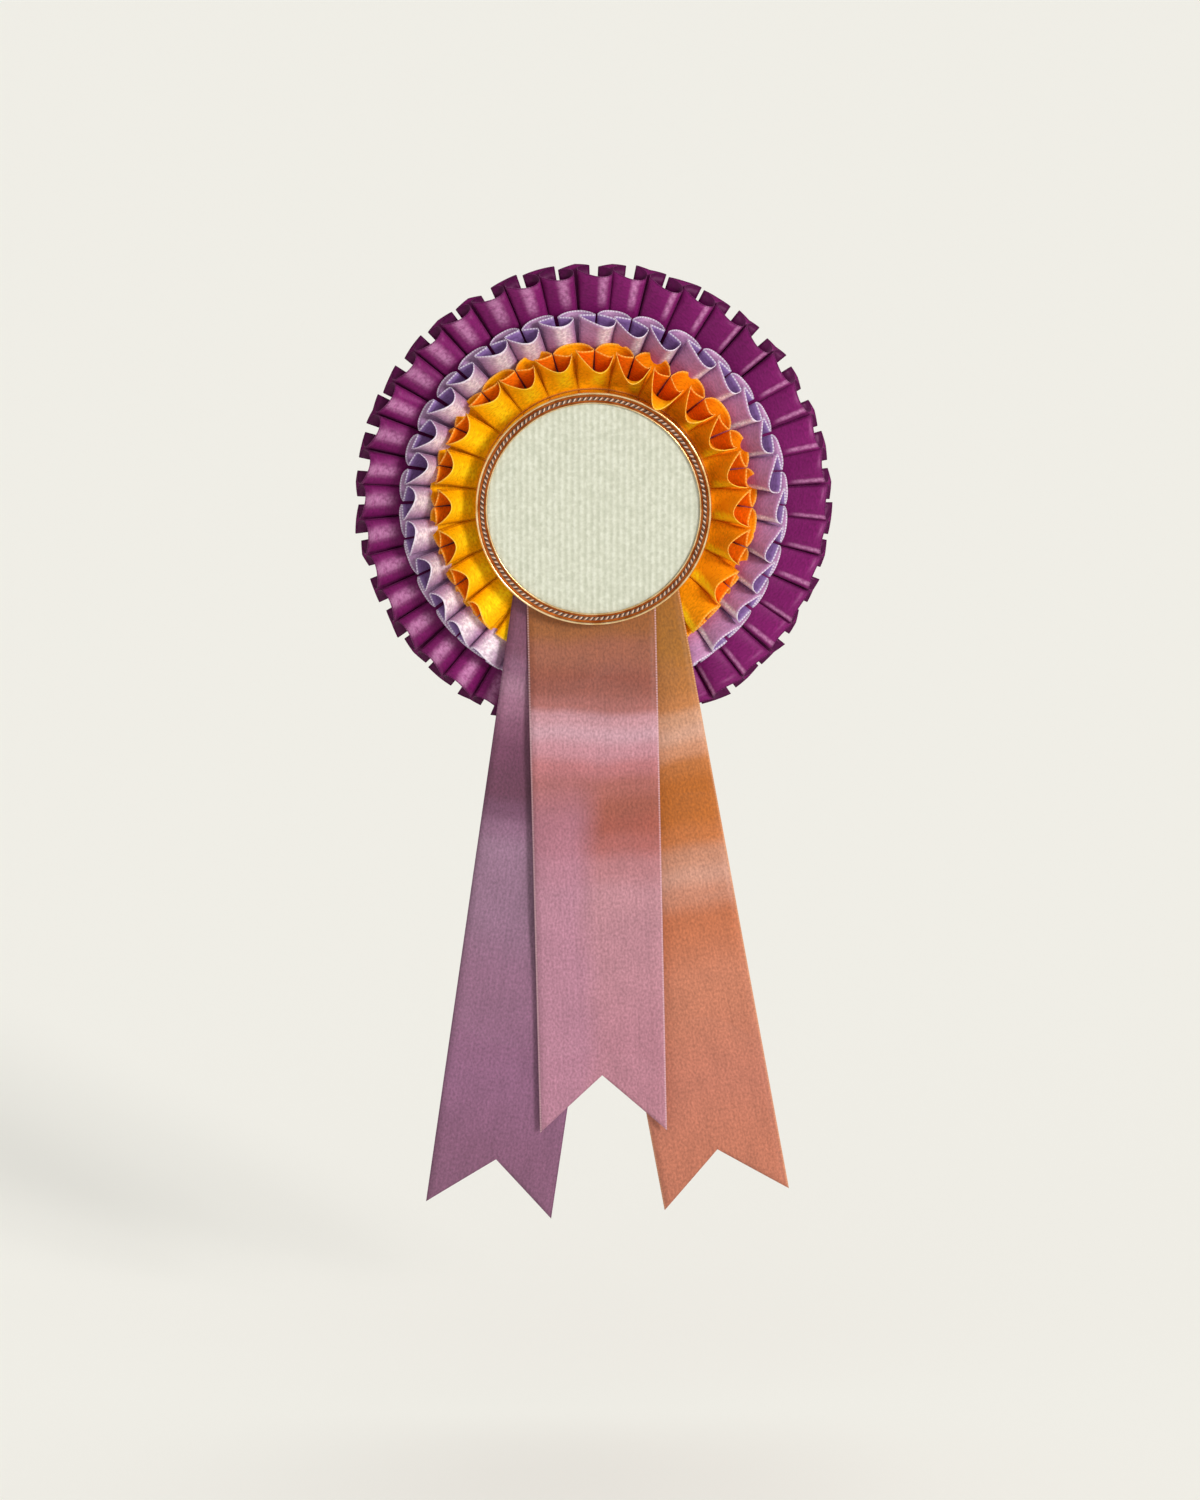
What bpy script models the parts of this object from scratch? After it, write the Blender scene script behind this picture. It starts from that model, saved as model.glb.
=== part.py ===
"""Award rosette with a bar pin: three box-pleated satin tiers, a corded button and three ribbon tails.

Metres, +Z up. The rosette faces -Y and its garment side faces +Y. The origin is the middle of the pin's
needle, which is what holds the rosette up. Lengths below are written in millimetres times MM.
"""

import math

import bmesh
import bpy
from mathutils import Matrix, Vector

MM = 0.001
GAP = 0.3 * MM  # left between pieces that touch

# Bar pin
BAR_LENGTH = 31.0 * MM
BAR_WIDTH = 5.0 * MM
BAR_THICKNESS = 0.8 * MM
NEEDLE_RADIUS = 0.45 * MM
NEEDLE_RISE = 2.2 * MM  # between the needle and the bar
NEEDLE_TAPER = 5.0 * MM
EYE_RADIUS = 1.2 * MM
EYE_THICKNESS = 1.4 * MM
HINGE_INSET = 2.0 * MM  # hinge axis from the end of the bar
POINT_INSET = 0.4 * MM  # needle's point from the bar's other end
NEEDLE_REACH = BAR_LENGTH - HINGE_INSET - POINT_INSET  # hinge axis to the point
EAR_THICKNESS = 0.8 * MM
EAR_RADIUS = 1.5 * MM
RIVET_RADIUS = 0.5 * MM
RIVET_HEAD = (0.95 * MM, 0.5 * MM)  # radius, thickness
RUN_CLEARANCE = 0.12 * MM  # round a shaft that turns
CATCH_MIDDLE_INSET = 2.9 * MM  # catch's middle from the end of the bar
CHEEK_THICKNESS = 0.9 * MM
CHEEK_RADIUS = 1.9 * MM
CATCH_FLANGE = (2.0 * MM, 1.3 * MM)  # radius, thickness
CATCH_WALL = 0.4 * MM
CATCH_LEVER = (3.7 * MM, 0.9 * MM)  # reach from the axis, width
LEVER_LENGTH = 0.8  # lever's length along the axis, as a share of the flange's
CATCH_SLOT = 0.9  # slot's width, as a share of the bore
PIN_ABOVE_CENTRE = 14.0 * MM

SATIN = 0.25 * MM
FOLD_AIR = 0.275 * MM  # between the three plies of a box pleat
PLEATED = 3 * SATIN + 2 * FOLD_AIR

# Layers from the garment to the front, each a thickness
LAYERS = {
    "adhesive_pad": 0.8 * MM,
    "back_card": 1.0 * MM,
    "base_board": 1.6 * MM,
    "outer_pleats": PLEATED,
    "middle_board": 1.2 * MM,
    "middle_pleats": PLEATED,
    "inner_board": 1.2 * MM,
    "inner_pleats": PLEATED,
    "inner_stitching": 0.44 * MM,
    "right_tail": 0.4 * MM,
    "left_tail": 0.4 * MM,
    "centre_tail": 0.4 * MM,
    "staple_crown": 0.5 * MM,
    "button_back": 1.0 * MM,
    "core_board": 1.2 * MM,
    "face_card": 0.7 * MM,
}

# Button
RING_RADIUS = 34.6 * MM
RING_BORDER = 3.4 * MM  # ring's outside to the face that shows
RING_WINDOW = RING_RADIUS - RING_BORDER
RING_SEAT = 0.9 * MM  # how far the ring's lip covers the face card
RING_FLANGE = 0.8 * MM
CORD_RADIUS = 0.55 * MM
CORD_RING_RADIUS = RING_RADIUS - 1.5 * MM
GROOVE_STEPS = 5

# Boards and stitches, all hidden behind the ring
BOARD_RADIUS = RING_RADIUS - 0.6 * MM
BACK_CARD_RADIUS = BOARD_RADIUS - 1.0 * MM
STITCHED_EDGE_RADIUS = BOARD_RADIUS - 1.6 * MM  # where every tier's ribbon begins
THREAD_RADIUS = 0.22 * MM
THREAD_LINE = BOARD_RADIUS + GAP + THREAD_RADIUS  # radius of each ring of stitches

# Pleated tiers
FRONT_GAP = 0.14  # between neighbouring front panels, in pitches
FRONT_HALF = (1 - FRONT_GAP) / 2  # half of a front panel, in pitches
FOLD_HALF = FRONT_GAP / 2  # from a box's middle to its rear folds, in pitches
FREE_ROWS = 2
RISE_POWER = 1.3  # how late along the ribbon the pleats rise
# pleats, ribbon width, forward lean of the back panels, opening of the mouths, spread of the rear folds
TIERS = {
    "outer_pleats": (40, 38.0 * MM, 0.0 * MM, 7.0 * MM, 0.06),
    "middle_pleats": (32, 25.0 * MM, 3.0 * MM, 6.0 * MM, 0.0),
    "inner_pleats": (24, 16.0 * MM, 3.6 * MM, 6.0 * MM, 0.0),
}
# across one pleat: offset in pitches, ply from the rear, lift as the mouth opens, sign of the spread
FOLDS = (
    (-FRONT_HALF, 2, 0.75, 0),
    (0, 2, 1.0, 0),
    (FRONT_HALF, 2, 0.75, 0),
    (FRONT_HALF, 1, 0.72, 0),
    (FOLD_HALF, 1, 0.04, 1),
    (FOLD_HALF, 0, 0.0, 1),
    (0.5, 0, 0.0, 0),
    (1 - FOLD_HALF, 0, 0.0, -1),
    (1 - FOLD_HALF, 1, 0.04, -1),
    (1 - FRONT_HALF, 1, 0.72, 0),
)
OPEN_TO = math.radians(95)  # pleats are fully open to this far each side of the top
FLAT_FROM = math.radians(134)  # and pressed flat from here down, under the tails

# Tails: place of the top's middle, lean from upright (+ to +X), length below the bend, depth of the notch
TAIL_WIDTH = 38.0 * MM
TAILS = {
    "right": (8.0 * MM, math.radians(10.4), 177.5 * MM, 16.0 * MM),
    "left": (-6.0 * MM, math.radians(-8.2), 179.5 * MM, 16.0 * MM),
    "centre": (-0.5 * MM, math.radians(1.3), 152.5 * MM, 17.5 * MM),
}
BEND_BELOW_RING = 2.2 * MM
TAB_TOP_DROP = 12.0 * MM  # tabs' upper edge below the rosette's centre
TAB_LIFT = 1.8 * MM  # tabs' lower edge above the bend, clear of the tails as they turn
STAPLE_MIDDLES = {"left_staple": -0.16 * TAIL_WIDTH, "right_staple": 0.16 * TAIL_WIDTH}
STAPLE_DROP = 22.0 * MM
STAPLE_WIDTH = 9.0 * MM
STAPLE_WIRE = 0.5 * MM
STAPLE_CLINCH = 3.2 * MM
STAPLE_HOLE = 0.25 * MM  # clearance round a leg

ROUND = 48  # segments of a large circle
FINE = 16  # segments of a small one


def stack():
    """Rear and front y of each layer, from the bar pin forwards."""
    places = {}
    y = -(NEEDLE_RISE + NEEDLE_RADIUS + BAR_THICKNESS)
    for layer, thickness in LAYERS.items():
        rear = y - GAP
        y = rear - thickness
        places[layer] = (rear, y)
    return places


PLACES = stack()
CENTRE_Z = -PIN_ABOVE_CENTRE
BEND_Z = CENTRE_Z - RING_RADIUS - BEND_BELOW_RING


def material(name, colour, roughness, metallic=0.0):
    made = bpy.data.materials.new(name)
    made.use_nodes = True
    shader = made.node_tree.nodes["Principled BSDF"]
    shader.inputs["Base Color"].default_value = (*colour, 1.0)
    shader.inputs["Roughness"].default_value = roughness
    shader.inputs["Metallic"].default_value = metallic
    return made


def node(name, bm, look, smooth=35):
    """The named object of one sub-part, from a bmesh that is used up."""
    bmesh.ops.recalc_face_normals(bm, faces=bm.faces)
    mesh = bpy.data.meshes.new(name)
    bm.to_mesh(mesh)
    bm.free()
    mesh.materials.append(look)
    if smooth:
        mesh.shade_smooth()
        mesh.set_sharp_from_angle(angle=math.radians(smooth))
    obj = bpy.data.objects.new(name, mesh)
    bpy.context.scene.collection.objects.link(obj)
    return obj


def box(low, high):
    """A bmesh box between two corners."""
    bm = bmesh.new()
    low, high = Vector(low), Vector(high)
    shape = Matrix.Translation((low + high) / 2) @ Matrix.Diagonal((*(high - low), 1))
    bmesh.ops.create_cube(bm, size=1, matrix=shape)
    return bm


def rod(radius, start, end, segments=FINE):
    """A bmesh cylinder between two points."""
    bm = bmesh.new()
    start, end = Vector(start), Vector(end)
    turn = (end - start).to_track_quat("Z", "Y").to_matrix().to_4x4()
    bmesh.ops.create_cone(
        bm,
        cap_ends=True,
        segments=segments,
        radius1=radius,
        radius2=radius,
        depth=(end - start).length,
        matrix=Matrix.Translation((start + end) / 2) @ turn,
    )
    return bm


def helper(name, bm):
    """A hidden solid that a Boolean uses."""
    bmesh.ops.recalc_face_normals(bm, faces=bm.faces)
    mesh = bpy.data.meshes.new(name)
    bm.to_mesh(mesh)
    bm.free()
    obj = bpy.data.objects.new(name, mesh)
    bpy.context.scene.collection.objects.link(obj)
    obj.hide_render = True
    obj.display_type = "WIRE"
    return obj


def boolean(obj, operation, shapes):
    for count, bm in enumerate(shapes):
        other = helper(f"{obj.name}_{operation.lower()}_{count}", bm)
        modifier = obj.modifiers.new(other.name, "BOOLEAN")
        modifier.operation = operation
        modifier.object = other


def turned(name, profile, look, centre, axis, closed, segments=ROUND):
    """A solid of revolution: the profile's (radius, height) points spun about an axis through the centre."""
    bm = bmesh.new()
    axis = Vector(axis)
    outward = Vector((0, 0, 1)) if axis.y else Vector((1, 0, 0))
    points = [bm.verts.new(Vector(centre) + outward * r + axis * h) for r, h in profile]
    edges = [bm.edges.new(pair) for pair in zip(points, points[1:])]
    if closed:
        edges.append(bm.edges.new((points[-1], points[0])))
    bmesh.ops.spin(
        bm,
        geom=points + edges,
        cent=centre,
        axis=axis,
        angle=2 * math.pi,
        steps=segments,
        use_merge=True,
        use_duplicate=False,
    )
    bmesh.ops.remove_doubles(bm, verts=bm.verts, dist=1e-7)
    return node(name, bm, look)


def disc(name, radius, look):
    """A round board or card in its layer."""
    rear, front = PLACES[name]
    profile = [(0, rear), (radius, rear), (radius, front), (0, front)]
    return turned(name, profile, look, (0, 0, CENTRE_Z), (0, 1, 0), closed=False)


def openness(angle):
    """1 where the pleats stand open and 0 where the tails press them flat, for an angle from the top."""
    away = abs(math.remainder(angle, 2 * math.pi))
    share = min(max((FLAT_FROM - away) / (FLAT_FROM - OPEN_TO), 0), 1)
    return share * share * (3 - 2 * share)


def pleated_tier(name, look):
    """One ribbon folded into box pleats and closed into a ring, held flat at its stitched edge."""
    pleats, width, lean, opening, spread = TIERS[name]
    pitch = 2 * math.pi / pleats
    rear, front = PLACES[name]
    ply = (abs(front - rear) - SATIN) / 2
    flat = THREAD_LINE + THREAD_RADIUS + GAP - STITCHED_EDGE_RADIUS
    rows = [0, flat] + [flat + (width - flat) * (i + 1) / FREE_ROWS for i in range(FREE_ROWS)]

    def fold_line(angle, plies, lift):
        """The ribbon's width along one fold: (radius, y) at each row."""
        line, radius, last = [], STITCHED_EDGE_RADIUS, 0
        for count, row in enumerate(rows):
            share = max((row - flat) / (width - flat), 0)
            forward = openness(angle) * share**RISE_POWER * (lean + opening * lift)
            if count:
                step = row - rows[count - 1]
                radius += math.sqrt(step * step - (forward - last) ** 2)
            last = forward
            line.append((radius, rear - SATIN / 2 - plies * ply - forward, share))
        return line

    bm = bmesh.new()
    columns = []
    for pleat in range(pleats):
        for offset, plies, lift, side in FOLDS:
            middle = pleat * pitch
            column = []
            for radius, y, share in fold_line(middle + offset * pitch, plies, lift):
                angle = middle + (offset + side * spread * share) * pitch
                place = (radius * math.sin(angle), y, CENTRE_Z + radius * math.cos(angle))
                column.append(bm.verts.new(place))
            columns.append(column)
    for here, there in zip(columns, columns[1:] + columns[:1]):
        for row in range(len(rows) - 1):
            bm.faces.new((here[row], there[row], there[row + 1], here[row + 1]))
    tier = node(name, bm, look)
    solid = tier.modifiers.new("ribbon thickness", "SOLIDIFY")
    solid.thickness = SATIN
    solid.offset = 0
    return tier


def stitching(name, tier, look):
    """The gathering thread that holds a tier's pleats just outside its board, as a thin closed ring."""
    height = PLACES[tier][1] - GAP - THREAD_RADIUS
    profile = [
        (THREAD_LINE + THREAD_RADIUS * math.cos(a), height + THREAD_RADIUS * math.sin(a))
        for a in (math.radians(90 * i) for i in range(4))
    ]
    return turned(name, profile, look, (0, 0, CENTRE_Z), (0, 1, 0), closed=True)


def strip_edge(tail, side, z):
    """The x of a tail's left (-1) or right (+1) edge at a height."""
    top, lean, _, _ = TAILS[tail]
    return top + (BEND_Z - z) * math.tan(lean) + side * TAIL_WIDTH / 2 / math.cos(lean)


def plate(name, outline, layer, look):
    """An outline of (x, z) points extruded through its layer."""
    rear, front = PLACES[layer]
    bm = bmesh.new()
    face = bm.faces.new([bm.verts.new((x, rear, z)) for x, z in outline])
    made = bmesh.ops.extrude_face_region(bm, geom=[face])
    moved = [item for item in made["geom"] if isinstance(item, bmesh.types.BMVert)]
    bmesh.ops.translate(bm, verts=moved, vec=(0, front - rear, 0))
    return node(name, bm, look, smooth=0)


def staple_legs():
    """The x of every staple leg's middle."""
    half = (STAPLE_WIDTH - STAPLE_WIRE) / 2
    return [middle + side * half for middle in STAPLE_MIDDLES.values() for side in (-1, 1)]


def leg_holes(layer):
    """Cutters for the staple legs through one layer."""
    rear, front = PLACES[layer]
    half = STAPLE_WIRE / 2 + STAPLE_HOLE
    z = CENTRE_Z - STAPLE_DROP
    return [
        box((x - half, front - 2 * GAP, z - half), (x + half, rear + 2 * GAP, z + half))
        for x in staple_legs()
    ]


def tab(tail, look):
    """The end of a tail that is fixed under the button."""
    top, bottom = CENTRE_Z - TAB_TOP_DROP, BEND_Z + TAB_LIFT
    outline = [
        (strip_edge(tail, side, z), z)
        for side, z in ((-1, top), (1, top), (1, bottom), (-1, bottom))
    ]
    made = plate(f"{tail}_tab", outline, f"{tail}_tail", look)
    boolean(made, "DIFFERENCE", leg_holes(f"{tail}_tail"))
    return made


def tail_hinge(tail):
    """The line that a tail bends about, as an empty: behind the tails and just below the ring."""
    empty = bpy.data.objects.new(f"{tail}_tail_bend", None)
    empty.location = (0, PLACES["right_tail"][0] + GAP, BEND_Z)
    bpy.context.scene.collection.objects.link(empty)
    return empty


def hanging_tail(tail, look):
    """The free length of a tail, cut to a swallowtail."""
    top_x, lean, length, notch = TAILS[tail]
    down = Vector((math.sin(lean), -math.cos(lean)))
    across = Vector((math.cos(lean), math.sin(lean)))
    start = Vector((top_x, BEND_Z))
    top = BEND_Z - GAP
    outline = [(strip_edge(tail, -1, top), top), (strip_edge(tail, 1, top), top)]
    for side, reach in ((1, length), (0, length - notch), (-1, length)):
        outline.append(tuple(start + down * reach + across * side * TAIL_WIDTH / 2))
    made = plate(f"{tail}_tail", outline, f"{tail}_tail", look)
    hinge = tail_hinge(tail)
    made.data.transform(Matrix.Translation(-hinge.location))
    made.parent = hinge
    return made


def staple(name, look):
    """A wire staple through the three tabs and the inner board, its legs clinched behind."""
    middle, half = STAPLE_MIDDLES[name], STAPLE_WIDTH / 2
    rear, front = PLACES["staple_crown"]
    behind = PLACES["inner_board"][0] + GAP
    right = [(half, front), (half, behind + STAPLE_WIRE), (half - STAPLE_CLINCH, behind + STAPLE_WIRE)]
    right += [(half - STAPLE_CLINCH, behind), (half - STAPLE_WIRE, behind), (half - STAPLE_WIRE, rear)]
    outline = right + [(-x, y) for x, y in reversed(right)]
    z = CENTRE_Z - STAPLE_DROP - STAPLE_WIRE / 2
    bm = bmesh.new()
    face = bm.faces.new([bm.verts.new((middle + x, y, z)) for x, y in outline])
    made = bmesh.ops.extrude_face_region(bm, geom=[face])
    moved = [item for item in made["geom"] if isinstance(item, bmesh.types.BMVert)]
    bmesh.ops.translate(bm, verts=moved, vec=(0, 0, STAPLE_WIRE))
    return node(name, bm, look, smooth=0)


def trim_ring(look):
    """The turned ring that frames the face: a groove for the cord, and a lip over the face card."""
    rear = PLACES["staple_crown"][0]
    seat = PLACES["face_card"][1] - GAP
    front = seat - RING_FLANGE
    inside = RING_WINDOW + RING_SEAT + GAP
    profile = [(inside, rear), (RING_RADIUS - 0.4 * MM, rear), (RING_RADIUS, rear - 0.4 * MM)]
    profile += [(RING_RADIUS, front + 0.3 * MM), (RING_RADIUS - 0.3 * MM, front)]
    groove = CORD_RADIUS + GAP / 2
    for step in range(GROOVE_STEPS + 1):
        angle = math.pi * step / GROOVE_STEPS
        profile.append((CORD_RING_RADIUS + groove * math.cos(angle), front + groove * math.sin(angle)))
    profile += [(RING_WINDOW + 0.2 * MM, front), (RING_WINDOW, front + 0.2 * MM), (RING_WINDOW, seat)]
    profile += [(inside, seat)]
    return turned("trim_ring", profile, look, (0, 0, CENTRE_Z), (0, 1, 0), closed=True)


def trim_cord(look):
    """The twisted cord lying in the ring's groove, as its outer shape."""
    height = PLACES["face_card"][1] - GAP - RING_FLANGE
    profile = [
        (CORD_RING_RADIUS + CORD_RADIUS * math.cos(a), height + CORD_RADIUS * math.sin(a))
        for a in (math.radians(60 * i) for i in range(6))
    ]
    return turned("trim_cord", profile, look, (0, 0, CENTRE_Z), (0, 1, 0), closed=True)


def hinge_x():
    return -BAR_LENGTH / 2 + HINGE_INSET


def catch_x():
    return BAR_LENGTH / 2 - CATCH_MIDDLE_INSET


def pin_bar(look):
    """The bar with two ears for the hinge rivet and two cheeks that hold the safety catch."""
    top = -(NEEDLE_RISE + NEEDLE_RADIUS)
    sunk = top - BAR_THICKNESS / 2
    half = BAR_WIDTH / 2
    bar = node(
        "pin_bar",
        box((-BAR_LENGTH / 2, top - BAR_THICKNESS, -half), (BAR_LENGTH / 2, top, half)),
        look,
    )
    slot = EYE_THICKNESS / 2 + GAP
    ear = slot + EAR_THICKNESS
    x = hinge_x()
    cheek = CATCH_FLANGE[1] / 2 + GAP + CHEEK_THICKNESS
    flange_slot = CATCH_FLANGE[1] / 2 + GAP
    c = catch_x()
    boolean(
        bar,
        "UNION",
        [
            box((x - EAR_RADIUS, sunk, -ear), (x + EAR_RADIUS, 0, ear)),
            rod(EAR_RADIUS, (x, 0, -ear), (x, 0, ear)),
            box((c - cheek, sunk, -CHEEK_RADIUS), (c + cheek, 0, CHEEK_RADIUS)),
            rod(CHEEK_RADIUS, (c - cheek, 0, 0), (c + cheek, 0, 0)),
        ],
    )
    above = top + GAP / 2
    high = 2 * CHEEK_RADIUS
    bore = NEEDLE_RADIUS + GAP + CATCH_WALL + RUN_CLEARANCE
    way = NEEDLE_RADIUS + GAP
    boolean(
        bar,
        "DIFFERENCE",
        [
            box((x - high, above, -slot), (x + high, high, slot)),
            rod(RIVET_RADIUS + RUN_CLEARANCE, (x, 0, -2 * ear), (x, 0, 2 * ear)),
            box((c - flange_slot, above, -high), (c + flange_slot, high, high)),
            rod(bore, (c - 2 * cheek, 0, 0), (c + 2 * cheek, 0, 0)),
            box((c - 2 * cheek, 0, -way), (c + 2 * cheek, high, way)),
        ],
    )
    return bar


def hinge_rivet(look):
    """The headed rivet through the ears and the needle's eye."""
    radius, thickness = RIVET_HEAD
    under = EYE_THICKNESS / 2 + GAP + EAR_THICKNESS + GAP
    profile = [(0, -under - thickness), (radius, -under - thickness), (radius, -under)]
    profile += [(RIVET_RADIUS, -under), (RIVET_RADIUS, under), (radius, under)]
    profile += [(radius, under + thickness), (0, under + thickness)]
    return turned("hinge_rivet", profile, look, (hinge_x(), 0, 0), (0, 0, 1), False, FINE)


def pin_needle(look):
    """The needle and its eye. Its origin is on the hinge axis."""
    straight = NEEDLE_REACH - NEEDLE_TAPER
    eye = rod(EYE_RADIUS, (0, 0, -EYE_THICKNESS / 2), (0, 0, EYE_THICKNESS / 2))
    needle = node("pin_needle", eye, look)
    point = rod(NEEDLE_RADIUS, (0, 0, 0), (NEEDLE_REACH, 0, 0), 12)
    tip = [vert for vert in point.verts if vert.co.x > straight]
    end = [face for face in point.faces if all(vert in tip for vert in face.verts)]
    bmesh.ops.delete(point, geom=end, context="FACES")
    for vert in tip:
        vert.co.x = straight
    rim = [edge for edge in point.edges if all(vert in tip for vert in edge.verts)]
    made = bmesh.ops.extrude_edge_only(point, edges=rim)["geom"]
    drawn = [item for item in made if isinstance(item, bmesh.types.BMVert)]
    for vert in drawn:
        vert.co = (NEEDLE_REACH, 0, 0)
    bmesh.ops.remove_doubles(point, verts=drawn, dist=1e-7)
    boolean(needle, "UNION", [point])
    clear = RIVET_RADIUS + RUN_CLEARANCE
    boolean(needle, "DIFFERENCE", [rod(clear, (0, 0, -2 * EYE_THICKNESS), (0, 0, 2 * EYE_THICKNESS))])
    for modifier in needle.modifiers:
        modifier.object.location = (hinge_x(), 0, 0)
    needle.location = (hinge_x(), 0, 0)
    return needle


def safety_catch(look):
    """The slotted roller that turns to lock the needle. Its origin is on its axis, slot open towards +Y."""
    bore = NEEDLE_RADIUS + GAP
    hub = bore + CATCH_WALL
    flange, thickness = CATCH_FLANGE
    reach, width = CATCH_LEVER
    end = thickness / 2 + GAP + CHEEK_THICKNESS
    c = catch_x()
    catch = node("safety_catch", rod(hub, (-end, 0, 0), (end, 0, 0)), look)
    catch.location = (c, 0, 0)
    half = thickness / 2
    lever = half * LEVER_LENGTH
    slot = bore * CATCH_SLOT
    boolean(
        catch,
        "UNION",
        [
            rod(flange, (c - half, 0, 0), (c + half, 0, 0)),
            box((c - lever, -width / 2, -reach), (c + lever, width / 2, -hub)),
        ],
    )
    boolean(
        catch,
        "DIFFERENCE",
        [
            rod(bore, (c - 2 * end, 0, 0), (c + 2 * end, 0, 0)),
            box((c - 2 * end, 0, -slot), (c + 2 * end, 2 * flange, slot)),
        ],
    )
    return catch


def adhesive_pad(look):
    """The foam tape that fixes the bar to the back card."""
    rear, front = PLACES["adhesive_pad"]
    half = BAR_WIDTH / 2 - GAP
    return node(
        "adhesive_pad",
        box((-BAR_LENGTH / 2 + GAP, front, -half), (BAR_LENGTH / 2 - GAP, rear, half)),
        look,
        smooth=0,
    )


def build():
    for obj in list(bpy.data.objects):
        bpy.data.objects.remove(obj)

    steel = (0.62, 0.63, 0.65)
    board = (0.55, 0.52, 0.46)
    pin_bar(material("pin bar nickel", steel, 0.28, 1.0))
    hinge_rivet(material("rivet nickel", steel, 0.25, 1.0))
    pin_needle(material("needle steel", (0.7, 0.7, 0.72), 0.15, 1.0))
    safety_catch(material("catch nickel", steel, 0.22, 1.0))
    adhesive_pad(material("pad foam", (0.8, 0.8, 0.78), 0.9))
    disc("back_card", BACK_CARD_RADIUS, material("back card white", (0.82, 0.81, 0.78), 0.8))
    disc("base_board", BOARD_RADIUS, material("base board grey", board, 0.9))
    disc("middle_board", BOARD_RADIUS, material("middle board grey", board, 0.9))
    inner = disc("inner_board", BOARD_RADIUS, material("inner board grey", board, 0.9))
    boolean(inner, "DIFFERENCE", leg_holes("inner_board"))

    satins = {"outer": (0.23, 0.01, 0.13), "middle": (0.43, 0.28, 0.5), "inner": (0.9, 0.42, 0.02)}
    for tier, colour in satins.items():
        pleated_tier(f"{tier}_pleats", material(f"{tier} satin", colour, 0.35))
        thread = material(f"{tier} thread", colour, 0.7)
        stitching(f"{tier}_stitching", f"{tier}_pleats", thread)

    tails = {"right": (0.63, 0.22, 0.13), "left": (0.26, 0.1, 0.24), "centre": (0.66, 0.25, 0.3)}
    for tail, colour in tails.items():
        tab(tail, material(f"{tail} tab satin", colour, 0.35))
        hanging_tail(tail, material(f"{tail} tail satin", colour, 0.35))
    for name in STAPLE_MIDDLES:
        staple(name, material(f"{name} wire", steel, 0.3, 1.0))

    button_radius = RING_WINDOW + RING_SEAT
    disc("button_back", button_radius, material("button back card", (0.7, 0.68, 0.62), 0.8))
    disc("core_board", button_radius, material("core board grey", board, 0.9))
    disc("face_card", button_radius, material("face card cream", (0.86, 0.83, 0.72), 0.6))
    trim_ring(material("trim ring gold", (0.75, 0.5, 0.22), 0.3, 1.0))
    trim_cord(material("trim cord gold thread", (0.72, 0.52, 0.25), 0.45, 0.6))


build()
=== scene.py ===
"""Award rosette: satin pleats, corded button, three ribbon tails and a bar pin, dressed on the CAD frame."""

import functools
import math

import bmesh
import bpy
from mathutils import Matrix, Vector


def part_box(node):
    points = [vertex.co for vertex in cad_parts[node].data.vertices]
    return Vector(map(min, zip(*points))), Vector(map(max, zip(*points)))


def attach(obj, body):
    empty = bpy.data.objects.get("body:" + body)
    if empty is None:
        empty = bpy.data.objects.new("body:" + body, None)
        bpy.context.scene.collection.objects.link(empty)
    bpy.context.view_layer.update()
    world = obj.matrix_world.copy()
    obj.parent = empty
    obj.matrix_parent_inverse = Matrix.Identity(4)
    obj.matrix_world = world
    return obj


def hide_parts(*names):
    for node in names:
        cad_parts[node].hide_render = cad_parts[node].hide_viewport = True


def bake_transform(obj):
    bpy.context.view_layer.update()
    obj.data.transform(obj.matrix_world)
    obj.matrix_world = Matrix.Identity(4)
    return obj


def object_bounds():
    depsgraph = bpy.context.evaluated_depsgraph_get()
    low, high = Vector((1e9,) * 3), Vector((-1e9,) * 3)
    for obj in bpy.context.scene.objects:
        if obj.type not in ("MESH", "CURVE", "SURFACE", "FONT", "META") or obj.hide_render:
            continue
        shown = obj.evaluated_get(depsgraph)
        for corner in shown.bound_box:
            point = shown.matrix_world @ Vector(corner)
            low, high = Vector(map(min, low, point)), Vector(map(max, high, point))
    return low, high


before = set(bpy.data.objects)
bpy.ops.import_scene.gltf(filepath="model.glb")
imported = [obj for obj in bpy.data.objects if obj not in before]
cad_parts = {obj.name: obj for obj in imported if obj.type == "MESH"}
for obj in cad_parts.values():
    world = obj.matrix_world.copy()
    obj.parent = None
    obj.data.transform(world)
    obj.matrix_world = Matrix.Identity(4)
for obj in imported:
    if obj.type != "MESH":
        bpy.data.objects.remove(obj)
CAD_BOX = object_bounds()

MM = 0.001
MATH, RANGE, NOISE = "ShaderNodeMath", "ShaderNodeMapRange", "ShaderNodeTexNoise"


# ---------------------------------------------------------------- places, from the frame


def span(node, axis):
    """Lowest and highest value of a node's box along an axis."""
    low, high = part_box(node)
    return low[axis], high[axis]


FACE_LOW, FACE_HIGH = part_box("face_card")
CENTRE = Vector(((FACE_LOW[0] + FACE_HIGH[0]) / 2, 0, (FACE_LOW[2] + FACE_HIGH[2]) / 2))
RING_RADIUS = (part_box("trim_ring")[1][0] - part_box("trim_ring")[0][0]) / 2
RING_REAR, RING_FRONT = span("trim_ring", 1)[1], span("trim_ring", 1)[0]
BOARD_RADIUS = (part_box("base_board")[1][0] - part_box("base_board")[0][0]) / 2
BEND_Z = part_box("centre_tail")[1][2]
TAB_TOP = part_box("centre_tab")[1][2]

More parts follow.
